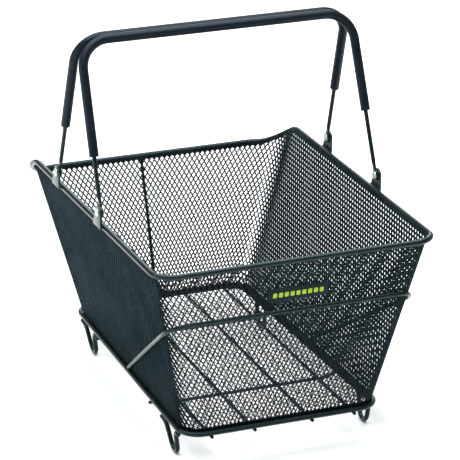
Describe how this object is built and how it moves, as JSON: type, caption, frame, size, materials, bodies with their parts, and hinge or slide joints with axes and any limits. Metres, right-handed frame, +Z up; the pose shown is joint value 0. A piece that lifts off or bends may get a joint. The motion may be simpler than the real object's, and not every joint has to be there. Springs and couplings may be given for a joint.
{
  "type": "wire mesh carrier basket with carrying handles",
  "caption": "Tapered open basket of expanded steel mesh on a wire frame, with wire feet that hook onto a rack and a pair of riveted swing handles with rubber grips.",
  "frame": {"origin": "middle of the basket's length and width, level with the undersides of its four feet", "axes": "+X to the right, +Y from the near wall, which has the badge, to the far wall with the lower rim, +Z up"},
  "size_m": [0.3528, 0.4774, 0.4485],
  "materials": {
    "black_powder_coat": "satin black powder coat over steel, slightly blue-green",
    "black_rubber": "satin extruded rubber tube",
    "bare_steel": "plated rivet heads",
    "black_plastic": "matt moulded plastic",
    "lime_ink": "lime green raised print"
  },
  "bodies": {
    "basket": {"rim_wire": "black_powder_coat", "base_wire": "black_powder_coat", "wall_mesh": "black_powder_coat", "floor_mesh": "black_powder_coat", "guard_wire": "black_powder_coat", "floor_wire_1": "black_powder_coat", "floor_wire_2": "black_powder_coat", "floor_wire_3": "black_powder_coat", "floor_wire_4": "black_powder_coat", "cross_wire_near": "black_powder_coat", "cross_wire_far": "black_powder_coat", "foot_near_left": "black_powder_coat", "foot_near_right": "black_powder_coat", "foot_far_left": "black_powder_coat", "foot_far_right": "black_powder_coat", "bracket_near_left": "black_powder_coat", "rivet_near_left": "bare_steel", "bracket_near_right": "black_powder_coat", "rivet_near_right": "bare_steel", "bracket_far_left": "black_powder_coat", "rivet_far_left": "bare_steel", "bracket_far_right": "black_powder_coat", "rivet_far_right": "bare_steel", "badge_plate": "black_plastic", "badge_mark": "lime_ink", "badge_backing": "black_plastic"},
    "handle_near": {"handle_wire_near": "black_powder_coat", "grip_near": "black_rubber"},
    "handle_far": {"handle_wire_far": "black_powder_coat", "grip_far": "black_rubber"}
  },
  "joints": [
    {"name": "handle_near_swing", "type": "hinge", "parent": "basket", "child": "handle_near", "pos_m": [0, -0.05964, 0.26493], "axis": [1, 0, 0], "range_deg": [0, 115]},
    {"name": "handle_far_swing", "type": "hinge", "parent": "basket", "child": "handle_far", "pos_m": [0, 0.08557, 0.26493], "axis": [1, 0, 0], "range_deg": [-114.5, 0]}
  ]
}
